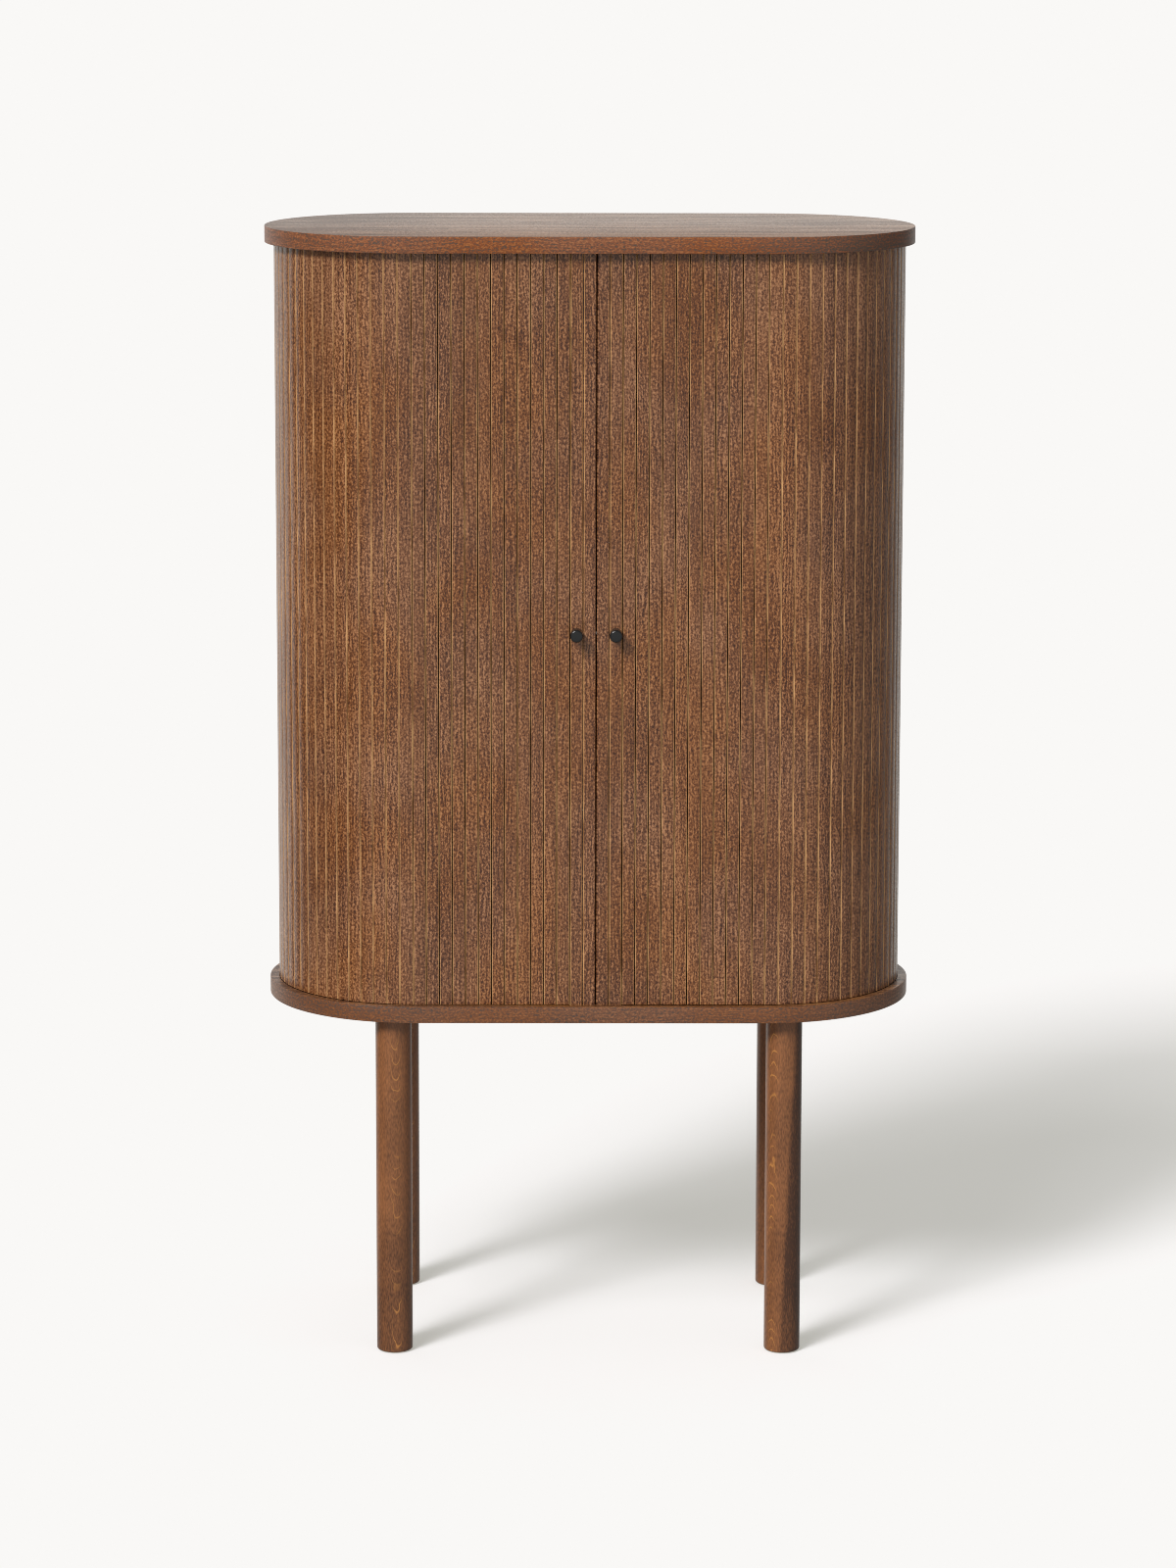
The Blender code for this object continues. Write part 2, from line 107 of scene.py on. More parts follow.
def add_node(tree, kind, inputs=None, **settings):
    """Adds one node, with its settings and with each input set or linked."""
    node = tree.nodes.new("ShaderNode" + kind)
    for name, value in settings.items():
        setattr(node, name, value)
    for name, value in (inputs or {}).items():
        socket = node.inputs[name]
        if isinstance(value, bpy.types.NodeSocket):
            tree.links.new(value, socket)
        elif isinstance(value, str):
            socket.default_value = linear(value)
        else:
            socket.default_value = value
    return node


def start_material(name):
    """An empty material, with its node tree."""
    material = bpy.data.materials.new(name)
    material.use_nodes = True
    material.node_tree.nodes.clear()
    return material, material.node_tree


# %% [markdown]
# ## Open-pored veneer, stained brown
#
# The slats and both plates are faced with oak veneer. Its rings are cut through as long streaks, and its
# pores as short dark dashes, and the brown stain gathers in both. A thin satin lacquer leaves the pores
# open, so the surface shines softly. The grain is drawn on a map of metres across and along the grain,
# which each piece carries as its `grain` UV map. So it runs on from slat to slat, as it does where one
# sheet of veneer is slit, and it bends round the ends with them.
#
# Cut through at a slant, rings and vessels show as fine lines. So each fine layer is a wave across the
# grain, whose phase is pushed about by a noise stretched along the grain: the lines close up, spread and
# break off. Real pores are 0.3 mm wide and stand closer, and are drawn about 2 mm wide and 4 mm apart,
# because finer ones don't show. Flecks, streaks, bands and clouds of stain are plain noises.
#
# A line layer has its line spacing, the size of its push across the grain and along it, all three in
# millimetres, the number of waves pushed, and its strength. A cloud layer has its size across the grain and
# along it in millimetres, and its strength.

# %% The veneer's layers
line_layers = {
    "rings": (5, 20, 110, 3, 0.12),
    "vessels": (4.4, 8, 26, 2, 0.14),
    "pores": (4.2, 4, 6, 2.5, 0.2),
}
cloud_layers = {
    "flecks": (2.6, 3.5, 0.3),
    "streaks": (6, 120, 0.04),
    "bands": (14, 900, 0.055),
    "clouds": (105, 190, 0.08),
}
print("veneer layers:", *line_layers, *cloud_layers)

# %% [markdown]
# No board is even, so three slow noises change the pattern from place to place. One makes the grain wander
# a few millimetres sideways, in bends about 110 mm wide and 480 mm long. One lets its lines stand out where
# the rings are cut flat, in places about 50 mm wide, or three slats, and 590 mm long. One makes the stain
# redder or greyer, in patches about 110 mm wide and 170 mm long.

# %% Slow changes, in patches to the metre across the grain and along it
wander_scale, wander_reach = (9, 2.1, 1), 0.011
flat_cut_scale = (20, 1.7, 1)
tinge_scale = (9, 6, 1)
print("slow changes:", wander_scale, flat_cut_scale, tinge_scale)

# %% [markdown]
# The layers are added up to one tone, from 0 for dark to 1 for light, and the tone picks the colour.
# `ends` darkens a piece towards its far left and right: along a plate's lipping it starts at one distance
# from the middle, is full at the next, and fades again round the back. On a lipping this is painted shade,
# where the strip turns round the ends; on the top it only makes the left end darker. A dusting of warm
# sheen stands for the open grain's fibres, which catch the light at the far edges.

# %% Veneer
# Where the end darkening, painted shade on a lipping, starts, is full, starts to fade and is gone
dark_starts, dark_full, fade_starts, fade_ends = 0.17, 0.36, 0.6, 0.84
gloss_spread = 0.07


def make_veneer(name, dark, middle, light, roughness, sheen=0, ends=(0, 0), specular=0.5, **strengths):
    """Stained veneer whose grain follows the grain map. Ends darkens its far left and right; on a lipping
    this is painted shade.
    """
    material, tree = start_material(name)
    grain_map = add_node(tree, "UVMap", uv_map="grain").outputs["UV"]

    # The grain wanders sideways
    place = add_node(tree, "Mapping", {"Vector": grain_map, "Scale": wander_scale})
    wander = add_node(tree, "TexNoise", {"Vector": place.outputs[0], "Scale": 1}, noise_dimensions="2D")
    inputs = {"Value": wander.outputs[0], "To Min": -wander_reach, "To Max": wander_reach}
    shift = add_node(tree, "MapRange", inputs)
    offset = add_node(tree, "CombineXYZ", {"X": shift.outputs[0]})
    grain = add_node(tree, "VectorMath", {0: grain_map, 1: offset.outputs[0]}, operation="ADD").outputs[0]
    axes = add_node(tree, "SeparateXYZ", {"Vector": grain}).outputs

    # Lines stand out where the rings are cut flat
    place = add_node(tree, "Mapping", {"Vector": grain, "Scale": flat_cut_scale})
    cut = add_node(tree, "TexNoise", {"Vector": place.outputs[0], "Scale": 1}, noise_dimensions="2D")
    inputs = {"Value": cut.outputs[0], "From Min": 0.4, "From Max": 0.6, "To Min": 0.75, "To Max": 1.15}
    flat_cut = add_node(tree, "MapRange", inputs).outputs[0]

    # The lines are added up to a relief, which the bump takes too
    relief = 0.0
    for layer, (spacing, across, along, waves, strength) in line_layers.items():
        place = add_node(tree, "Mapping", {"Vector": grain, "Scale": (1000 / across, 1000 / along, 1)})
        inputs = {"Vector": place.outputs[0], "Scale": 1, "Detail": 1}
        push = add_node(tree, "TexNoise", inputs, noise_dimensions="2D").outputs[0]
        push = add_node(tree, "Math", {0: push, 1: waves * math.tau}, operation="MULTIPLY").outputs[0]
        inputs = {0: axes["X"], 1: math.tau * 1000 / spacing, 2: push}
        phase = add_node(tree, "Math", inputs, operation="MULTIPLY_ADD").outputs[0]
        lines = add_node(tree, "Math", {0: phase}, operation="SINE").outputs[0]
        inputs = {0: lines, 1: strengths.get(layer, strength), 2: relief}
        relief = add_node(tree, "Math", inputs, operation="MULTIPLY_ADD").outputs[0]
    relief = add_node(tree, "Math", {0: relief, 1: flat_cut}, operation="MULTIPLY").outputs[0]

    tone = add_node(tree, "Math", {0: relief, 1: 0.5}).outputs[0]
    for layer, (across, along, strength) in cloud_layers.items():
        strength = strengths.get(layer, strength)
        place = add_node(tree, "Mapping", {"Vector": grain, "Scale": (1000 / across, 1000 / along, 1)})
        inputs = {"Vector": place.outputs[0], "Scale": 1}
        noise = add_node(tree, "TexNoise", inputs, noise_dimensions="2D").outputs[0]
        inputs = {"Value": noise, "From Min": 0.3, "From Max": 0.7, "To Min": -strength, "To Max": strength}
        cloud = add_node(tree, "MapRange", inputs).outputs[0]
        tone = add_node(tree, "Math", {0: tone, 1: cloud}).outputs[0]
    # Painted shade where a lipping turns round the ends; on the top, only a darker left end
    if any(ends):
        along = add_node(tree, "SeparateXYZ", {"Vector": grain_map}).outputs["Y"]
        for direction, depth in zip((-1, 1), ends):
            inputs = {"Value": along, "From Min": direction * dark_starts, "From Max": direction * dark_full}
            inputs["To Max"] = -depth
            darker = add_node(tree, "MapRange", inputs).outputs[0]
            inputs = {"Value": along, "From Min": direction * fade_ends, "From Max": direction * fade_starts}
            fade = add_node(tree, "MapRange", inputs).outputs[0]
            inputs = {0: darker, 1: fade, 2: tone}
            tone = add_node(tree, "Math", inputs, operation="MULTIPLY_ADD").outputs[0]
    ramp = add_node(tree, "ValToRGB", {"Fac": tone})
    stops = ramp.color_ramp.elements
    stops[0].color, stops[1].color = linear(dark), linear(light)
    stops.new(0.5).color = linear(middle)

    # The stain is redder in some places and greyer in others
    place = add_node(tree, "Mapping", {"Vector": grain, "Scale": tinge_scale})
    inputs = {"Vector": place.outputs[0], "Scale": 1, "Detail": 1}
    tinge = add_node(tree, "TexNoise", inputs, noise_dimensions="2D").outputs[0]
    inputs = {"Value": tinge, "From Min": 0.35, "From Max": 0.65, "To Min": 0.96, "To Max": 1.05}
    tinge = add_node(tree, "MapRange", inputs).outputs[0]
    stained = add_node(tree, "HueSaturation", {"Saturation": tinge, "Color": ramp.outputs[0]})
    bump = add_node(tree, "Bump", {"Height": relief, "Strength": 0.5, "Distance": 0.00015})
    inputs = {"Value": tone, "To Min": roughness + gloss_spread, "To Max": roughness - gloss_spread}
    gloss = add_node(tree, "MapRange", inputs)
    inputs = {"Base Color": stained.outputs[0], "Roughness": gloss.outputs[0], "Normal": bump.outputs[0]}
    inputs |= {"Sheen Weight": sheen, "Sheen Roughness": 0.5, "Sheen Tint": "E0AC80"}
    inputs["Specular IOR Level"] = specular
    shader = add_node(tree, "BsdfPrincipled", inputs)
    add_node(tree, "OutputMaterial", {"Surface": shader.outputs[0]})
    return material


# %% [markdown]
# Five veneers come from it. The slats' takes the layers as they are. The flat faces of both plates have
# stronger streaks and a darker left end. The inside has a duller lacquer. Each plate's edge is lipped with
# a strip of its own, whose figure is fainter. The upper strip has painted shade at its right, where it
# turns away from the light, and shines less. The lower one has a little painted shade at both ends.

# %% Five veneers
slat_veneer = make_veneer("brown_stained_oak_veneer", "3A1C0D", "6B4125", "A2724E", 0.3, sheen=0.06)
top_veneer = make_veneer(
    "brown_stained_oak_top", "492C1B", "714A2C", "9A6B42", 0.32, ends=(0.36, 0), streaks=0.25, bands=0.25
)
inner_veneer = make_veneer("brown_stained_oak_inside", "4A2B19", "70472A", "9C6C46", 0.45)
lipping = {"rings": 0.1, "vessels": 0.1, "clouds": 0.04}
# The darker right end of this strip is painted shade
upper_edging = make_veneer(
    "brown_stained_upper_edging", "504036", "794528", "97613B", 0.4, ends=(0.07, 0.33), specular=0.35,
    **lipping,
)
# The darker ends of this strip are painted shade
lower_edging = make_veneer(
    "brown_stained_lower_edging", "473831", "6C4228", "895A3A", 0.4, ends=(0.15, 0.1), sheen=0.1, **lipping
)
for material in (slat_veneer, top_veneer, inner_veneer, upper_edging, lower_edging):
    print(material.name, len(material.node_tree.nodes), "nodes")

# %% [markdown]
# ## The slats' bare edges
#
# Each slat's front edges are eased after the veneer is on. The cut goes through it at a slant, and the
# stain takes less there, so each groove has a thin honey line along it. It takes unevenly, in patches
# about 17 mm across the grain and 70 mm along it. The studio light comes from the left, so only the edge
# that faces left is bright, and its neighbour across the groove lies in the dark.

# %% Eased edges
edge_patch_scale = (60, 14, 1)


def make_eased_edge():
    """Thinly stained wood on the slant of an eased edge."""
    material, tree = start_material("thinly_stained_edge")
    grain_map = add_node(tree, "UVMap", uv_map="grain").outputs["UV"]
    place = add_node(tree, "Mapping", {"Vector": grain_map, "Scale": edge_patch_scale})
    inputs = {"Vector": place.outputs[0], "Scale": 1, "Detail": 4, "Roughness": 0.65}
    noise = add_node(tree, "TexNoise", inputs, noise_dimensions="2D").outputs[0]
    ramp = add_node(tree, "ValToRGB", {"Fac": noise})
    stops = ramp.color_ramp.elements
    stops[0].position, stops[1].position = 0.36, 0.64
    stops[0].color, stops[1].color = linear("8C6139"), linear("CFA06C")
    bump = add_node(tree, "Bump", {"Height": noise, "Strength": 0.3, "Distance": 0.0002})
    inputs = {"Base Color": ramp.outputs[0], "Roughness": 0.5, "Normal": bump.outputs[0]}
    shader = add_node(tree, "BsdfPrincipled", inputs)
    add_node(tree, "OutputMaterial", {"Surface": shader.outputs[0]})
    return material


eased_edge = make_eased_edge()
print("edge:", eased_edge.name)

# %% [markdown]
# ## Beech legs
#
# The legs are turned from beech. The lathe cuts the growth rings where they lie close to the surface, and
# they show there as nested arches. A ring is a tall cone round the tree's pith, so the pattern needs no
# drawing: it is the distance from a line that leans a little against the leg. Each leg comes from
# another board, so it has its own pith. The stain hardly takes on the dense end of each ring, which is
# left as a thin honey line.
#
# Three noises help, with their millimetres across the leg and along it, and their detail: one makes the
# rings waver, one lets the stain take in clouds, and one draws the flecks of rays and vessels.

# %% Turned beech
ring_pitch = 0.0016
pith_distance = 0.09
ring_waver = 0.008
beech_noises = ((45, 80, 3), (38, 110, 2), (1.4, 6, 1))
tip_full, tip_gone = 0.004, 0.009


def make_beech(name, x, y, pith_turn, lean, painted_side_shade, dark_foot):
    """Stained beech for a leg at x, y, with its pith in one direction and leaning against the leg."""
    material, tree = start_material(name)
    point = add_node(tree, "TexCoord").outputs["Object"]
    leg = add_node(tree, "Mapping", {"Vector": point, "Location": (-x, -y, 0)}).outputs[0]
    height = add_node(tree, "SeparateXYZ", {"Vector": leg}).outputs["Z"]

    noises = []
    for across, along, detail in beech_noises:
        scale = (1000 / across, 1000 / across, 1000 / along)
        place = add_node(tree, "Mapping", {"Vector": leg, "Scale": scale}).outputs[0]
        noises.append(add_node(tree, "TexNoise", {"Vector": place, "Scale": 1, "Detail": detail}).outputs[0])
    waver, cloud, fleck = noises

    # Distance from the leaning pith, in rings
    pith = Vector((-math.sin(pith_turn), math.cos(pith_turn), 0)) * pith_distance
    from_pith = add_node(tree, "VectorMath", {0: leg, 1: pith}, operation="SUBTRACT").outputs[0]
    level = add_node(tree, "VectorMath", {0: from_pith, 1: (1, 1, 0)}, operation="MULTIPLY").outputs[0]
    reach = add_node(tree, "VectorMath", {0: level}, operation="LENGTH").outputs["Value"]
    reach = add_node(tree, "Math", {0: height, 1: lean, 2: reach}, operation="MULTIPLY_ADD").outputs[0]
    reach = add_node(tree, "Math", {0: waver, 1: ring_waver, 2: reach}, operation="MULTIPLY_ADD").outputs[0]
    rings = add_node(tree, "Math", {0: reach, 1: ring_pitch}, operation="DIVIDE").outputs[0]
    share = add_node(tree, "Math", {0: rings}, operation="FRACT").outputs[0]

    # The dense end of each ring, as a thin line that comes and goes
    line = add_node(tree, "ValToRGB", {"Fac": share})
    stops = line.color_ramp.elements
    stops[0].color, stops[1].color = (0, 0, 0, 1), (0, 0, 0, 1)
    stops[0].position, stops[1].position = 0.82, 1
    stops.new(0.93).color = (1, 1, 1, 1)
    inputs = {"Value": cloud, "From Min": 0.38, "From Max": 0.54, "To Max": 0.9}
    patchy = add_node(tree, "MapRange", inputs).outputs[0]
    mask = add_node(tree, "Math", {0: line.outputs[0], 1: patchy}, operation="MULTIPLY").outputs[0]

    # It shows only at the tip of each arch, where the lathe cuts the ring nearly flat
    across_tip = (math.cos(pith_turn), math.sin(pith_turn), 0)
    aside = add_node(tree, "VectorMath", {0: leg, 1: across_tip}, operation="DOT_PRODUCT").outputs["Value"]
    aside = add_node(tree, "Math", {0: aside}, operation="ABSOLUTE").outputs[0]
    inputs = {"Value": aside, "From Min": tip_full, "From Max": tip_gone, "To Min": mask, "To Max": 0}
    mask = add_node(tree, "MapRange", inputs).outputs[0]

    # Darker towards the foot, and painted shade on the side away from the light, whose border leans a little
    inputs = {"Value": fleck, "From Min": 0.3, "From Max": 0.7, "To Max": 0.3}
    fleck = add_node(tree, "MapRange", inputs).outputs[0]
    tone = add_node(tree, "Math", {0: cloud, 1: 0.6, 2: fleck}, operation="MULTIPLY_ADD").outputs[0]
    inputs = {"Value": height, "From Min": 0.02, "From Max": 0.2, "To Min": dark_foot, "To Max": 0}
    foot = add_node(tree, "MapRange", inputs).outputs[0]
    side = add_node(tree, "VectorMath", {0: leg, 1: (1, 0, -0.043)}, operation="DOT_PRODUCT").outputs["Value"]
    inputs = {"Value": side, "From Min": -0.0075, "From Max": 0.0005, "To Max": painted_side_shade}
    side = add_node(tree, "MapRange", inputs, interpolation_type="SMOOTHSTEP").outputs[0]
    for darker in (foot, side):
        tone = add_node(tree, "Math", {0: tone, 1: darker}, operation="SUBTRACT").outputs[0]
    ramp = add_node(tree, "ValToRGB", {"Fac": tone})
    stops = ramp.color_ramp.elements
    stops[0].position, stops[1].position = 0.08, 0.73
    stops[0].color, stops[1].color = linear("442716"), linear("966039")

    # A Mix node for colours has them in inputs 6 and 7, and in output 2
    colour = add_node(tree, "Mix", {"Factor": mask, 6: ramp.outputs[0], 7: "B67C40"}, data_type="RGBA")
    bump = add_node(tree, "Bump", {"Height": fleck, "Strength": 0.25, "Distance": 0.0001})
    inputs = {"Base Color": colour.outputs[2], "Roughness": 0.4, "Normal": bump.outputs[0]}
    shader = add_node(tree, "BsdfPrincipled", inputs)
    add_node(tree, "OutputMaterial", {"Surface": shader.outputs[0]})
    return material


# %% [markdown]
# ## Lacquer, metal, plastic and canvas
#
# The knobs are turned wood under satin black lacquer, with the faint unevenness of a sprayed coat. The
# pins, screws, bolts and magnets are plated, with zinc or nickel. The glides are moulded nylon. The canvas
# is a plain weave of 0.5 mm threads, drawn at 1.5 mm so that it shows.


# %% The smaller finishes
def make_plain(name, hex_colour, roughness, metallic, grain_size, roughness_spread, bump_depth):
    """A finish of one colour, whose gloss and surface vary with a fine noise."""
    material, tree = start_material(name)
    point = add_node(tree, "TexCoord").outputs["Object"]
    inputs = {"Vector": point, "Scale": 1 / grain_size, "Detail": 3}
    noise = add_node(tree, "TexNoise", inputs).outputs[0]
    low, high = roughness - roughness_spread, roughness + roughness_spread
    gloss = add_node(tree, "MapRange", {"Value": noise, "To Min": low, "To Max": high}).outputs[0]
    bump = add_node(tree, "Bump", {"Height": noise, "Strength": 0.4, "Distance": bump_depth})
    inputs = {"Base Color": hex_colour, "Metallic": metallic, "Roughness": gloss, "Normal": bump.outputs[0]}
    shader = add_node(tree, "BsdfPrincipled", inputs)
    add_node(tree, "OutputMaterial", {"Surface": shader.outputs[0]})
    return material


canvas_thread = 0.0015


def make_canvas():
    """Brown cotton canvas in a plain weave."""
    material, tree = start_material("brown_cotton_canvas")
    grain_map = add_node(tree, "UVMap", uv_map="grain").outputs["UV"]
    waves = []
    for turn in (0, math.pi / 2):
        turned = add_node(tree, "Mapping", {"Vector": grain_map, "Rotation": (0, 0, turn)})
        # At scale 1 a wave is tau / 20 m long, and here it is one thread over and one under
        scale = math.tau / 20 / (2 * canvas_thread)
        inputs = {"Vector": turned.outputs[0], "Scale": scale, "Distortion": 0.3}
        waves.append(add_node(tree, "TexWave", inputs).outputs["Fac"])
    weave = add_node(tree, "Math", {0: waves[0], 1: waves[1]}, operation="MULTIPLY").outputs[0]
    ramp = add_node(tree, "ValToRGB", {"Fac": weave})
    stops = ramp.color_ramp.elements
    stops[0].color, stops[1].color = linear("2E231C"), linear("5C4A3B")
    bump = add_node(tree, "Bump", {"Height": weave, "Strength": 0.6, "Distance": 0.0003})
    inputs = {"Base Color": ramp.outputs[0], "Roughness": 0.9, "Normal": bump.outputs[0]}
    shader = add_node(tree, "BsdfPrincipled", inputs)
    add_node(tree, "OutputMaterial", {"Surface": shader.outputs[0]})
    return material


black_lacquer = make_plain(
    "satin_black_lacquer", "121416", 0.22, metallic=0, grain_size=0.002, roughness_spread=0.04,
    bump_depth=0.0001,
)
plated_steel = make_plain(
    "plated_steel", "C4C6C8", 0.28, metallic=1, grain_size=0.001, roughness_spread=0.08,
    bump_depth=0.00002,
)
moulded_nylon = make_plain(
    "moulded_nylon", "3E3E40", 0.6, metallic=0, grain_size=0.0015, roughness_spread=0.08,
    bump_depth=0.00005,
)
canvas = make_canvas()
print("small finishes:", black_lacquer.name, plated_steel.name, moulded_nylon.name, canvas.name)

# %% [markdown]
# ## From a bmesh to a piece
#
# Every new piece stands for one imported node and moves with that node's body. It is smooth shaded, and an
# edge sharper than a given angle stays crisp. The grain map is laid piece by piece: a small function
# says, for a corner of a face, how far it lies across and along the grain.


# %% Helpers for pieces
def lay_grain(bm, measure):
    """Writes the grain map of all faces: metres across and along the grain at each corner."""
    layer = bm.loops.layers.uv.new("grain")
    for face in bm.faces:
        for loop in face.loops:
            loop[layer].uv = measure(loop.vert.co, face.normal)


def upright(point, normal):
    """Grain that stands upright. A face that looks up or down shows the ends of the fibres."""
    if abs(normal.z) > 0.7:
        return point.x, point.y
    return point.x + point.y, point.z


def lengthways(point, normal):
    """Grain that runs from left to right."""
    return point.y + point.z, point.x


def make_piece(name, bm, node, materials, crisp=35):
    """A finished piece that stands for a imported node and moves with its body."""
    mesh = bpy.data.meshes.new(name)
    bm.to_mesh(mesh)
    bm.free()
    for material in materials:
        mesh.materials.append(material)
    mesh.shade_smooth()
    mesh.set_sharp_from_angle(angle=math.radians(crisp))
    piece = bpy.data.objects.new(name, mesh)
    bpy.context.scene.collection.objects.link(piece)
    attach(piece, frame["nodes"][node]["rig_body"])
    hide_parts(node)
    return piece


# %% [markdown]
# ## One slat
#
# A slat is a 7 mm strip of wood with its two front edges eased, and a strip of canvas glued behind it. It
# starts as a cube, scaled to size in front of the middle of the cabinet, and its front edges are
# bevelled. Every slat is a copy of it, with its grain map slid along by the slat's own distance from the
# middle, measured along the run.
#
# Round an end the slats fan out at the face and close up at the back, so a slat there is a little wider
# in front than behind. Its edges are eased a little more too: they are turned towards the eye there, and
# their honey lines look stronger than on the flat front.

# %% Sizes of a slat
straight_ease, curved_ease = 0.0006, 0.0008
straight_gap, curved_gap, canvas_gap = 0.00125, 0.0004, 0.0006
straight_width, canvas_width = slat_pitch - straight_gap, slat_pitch - canvas_gap
face_pitch, back_pitch = (slat_pitch * r / track_radius for r in (slat_face, slat_face - slat_thickness))
canvas_thickness = 0.0008
print(f"a straight slat is {straight_width:.5f} m wide, its canvas {canvas_width:.4f} m")

# %% [markdown]
# Edges are eased in many places, so a helper bevels them. A point counts as lying in a plane when it is
# less than a thousandth of a millimetre away from it, because Blender's coordinates are rounded.

# %% Model the slat
near = 1e-6
long_edge = 0.05


def add_box(bm, low, high):
    """A box between two corners; returns its vertices."""
    low, high = Vector(low), Vector(high)
    place = Matrix.Translation((low + high) / 2) @ Matrix.Diagonal((*(high - low), 1))
    return bmesh.ops.create_cube(bm, size=1, matrix=place)["verts"]


def ease_edges(bm, edges, offset, segments=2):
    """Bevels edges a little, as sandpaper does; returns the new faces."""
    return bmesh.ops.bevel(
        bm, geom=edges, offset=offset, offset_type="OFFSET", affect="EDGES", segments=segments,
        profile=0.5, material=-1,
    )["faces"]


def model_slat(name, face_width, back_width, ease):
    """A slat that others are copied from, as a mesh."""
    bm = bmesh.new()
    face, back = centre_y - slat_face, centre_y - slat_face + slat_thickness
    wood = add_box(bm, (-face_width / 2, face, slat_low.z), (face_width / 2, back, slat_high.z))
    rear = [vert for vert in wood if vert.co.y > back - near]
    bmesh.ops.scale(bm, vec=(back_width / face_width, 1, 1), verts=rear)
    edges = {edge for vert in wood for edge in vert.link_edges}
    front = [e for e in edges if all(abs(v.co.y - face) < near for v in e.verts)]
    for made in ease_edges(bm, [e for e in front if e.calc_length() > long_edge], ease):
        made.material_index = 1
    strip = add_box(
        bm, (-canvas_width / 2, back, slat_low.z), (canvas_width / 2, back + canvas_thickness, slat_high.z)
    )
    for made in {face for vert in strip for face in vert.link_faces}:
        made.material_index = 2
    bm.normal_update()
    lay_grain(bm, upright)
    mesh = bpy.data.meshes.new(name)
    bm.to_mesh(mesh)
    bm.free()
    return mesh


straight_slat = model_slat("straight_slat", straight_width, straight_width, straight_ease)
curved_slat = model_slat("curved_slat", face_pitch - curved_gap, back_pitch - curved_gap, curved_ease)
print(len(straight_slat.polygons), "faces in a slat")

# %% [markdown]
# The flat front takes one slat per node. Round the ends the wedge-shaped slat is turned about the end's
# centre, one pitch of the track further each time, and the whole run is one piece.

# %% Set out the slats
curved_counts = {"left": 20, "right": 21}
angle_step = slat_pitch / track_radius


def add_slat(bm, pattern, matrix, along):
    """Adds a copy of a slat, moved by a matrix, with its grain slid along."""
    verts, faces = len(bm.verts), len(bm.faces)
    bm.from_mesh(pattern)
    bm.verts.ensure_lookup_table()
    bm.faces.ensure_lookup_table()
    bmesh.ops.transform(bm, matrix=matrix, verts=bm.verts[verts:])
    layer = bm.loops.layers.uv.get("grain")
    for face in bm.faces[faces:]:
        for loop in face.loops:
            loop[layer].uv.x += along


door_finishes = [slat_veneer, eased_edge, canvas]
for node in sorted(frame["nodes"]):
    if "_slat_" in node:
        low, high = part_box(node)
        middle = (low.x + high.x) / 2
        bm = bmesh.new()
        add_slat(bm, straight_slat, Matrix.Translation((middle, 0, 0)), middle)
        make_piece(node + "_veneered", bm, node, door_finishes)

for side, towards in sides.items():
    node = side + "_curved_slats"
    end_centre = Vector((towards * half_straight, centre_y, 0))
    bm = bmesh.new()
    for number in range(curved_counts[side]):
        turn = Matrix.Rotation(towards * (number + 0.5) * angle_step, 4, "Z")
        matrix = Matrix.Translation(end_centre) @ turn @ Matrix.Translation((0, -centre_y, 0))
        add_slat(bm, curved_slat, matrix, towards * (half_straight + (number + 0.5) * slat_pitch))
    make_piece(side + "_curved_run", bm, node, door_finishes)
    print(node, curved_counts[side], "slats")
for pattern in (straight_slat, curved_slat):
    bpy.data.meshes.remove(pattern)

# %% [markdown]
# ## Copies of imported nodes
#
# Some nodes already have the right shape. Their mesh is loose triangles, so a copy is merged and its flat
# parts are joined. Its long sharp edges can be eased a little at the same time.

# %% Copy a node
merge_distance = 0.00001


def copy_node(node, ease=0.0):
    """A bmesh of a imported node, with its triangles joined and its long edges eased."""
    bm = bmesh.new()
    bm.from_mesh(frame["nodes"][node].data)
    bmesh.ops.remove_doubles(bm, verts=bm.verts, dist=merge_distance)
    bmesh.ops.dissolve_limit(bm, angle_limit=math.radians(1), verts=bm.verts, edges=bm.edges)
    if ease:
        sharp = [e for e in bm.edges if e.calc_length() > long_edge and e.calc_face_angle(0) > 1]
        ease_edges(bm, sharp, ease)
    bm.normal_update()
    return bm


# %% [markdown]
# A lead rail is two slats wide and keeps its packed chamfers. Those at the front, apart from the one at the
# seam, become the honey coloured edges.

# %% Lead rails
chamfer_reach = 0.002
for side in sides:
    node = side + "_lead_rail"
    bm = copy_node(node)
    low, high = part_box(node)
    seam_edge = low.x if side == "right" else high.x
    for face in bm.faces:
        middle = face.calc_center_median()
        slanted = abs(abs(face.normal.x) - abs(face.normal.y)) < 0.1 and abs(face.normal.z) < 0.1
        in_front = middle.y < centre_y - slat_face + chamfer_reach
        if slanted and in_front and abs(middle.x - seam_edge) > chamfer_reach:
            face.material_index = 1
    lay_grain(bm, upright)
    piece = make_piece(node + "_veneered", bm, node, [slat_veneer, eased_edge])
    bare = sum(face.material_index for face in piece.data.polygons)
    print(piece.name, "with", bare, "honey coloured faces")

# %% [markdown]
# The inner sides and the shelves are plain boards with sanded edges, in the inside's veneer. It stands
# upright on the sides and runs lengthways on the shelves.

# %% Inner sides and shelves
board_ease = 0.0006
boards = {"left_inner_side": upright, "right_inner_side": upright}
boards |= {"lower_shelf": lengthways, "upper_shelf": lengthways}
for node, measure in boards.items():
    bm = copy_node(node, board_ease)
    lay_grain(bm, measure)
    make_piece(node + "_eased", bm, node, [inner_veneer])
print("boards:", *boards)

# %% [markdown]
# ## The plates
#
# Both plates have the same outline, two half turns joined by straight sides. Their grain runs lengthways
# on the flat faces and follows the lipping round the edge, so it is measured along the run. The flat back
# is told by its normal, because its two corners would be measured round different ends, and the grain
# would be squeezed between them.


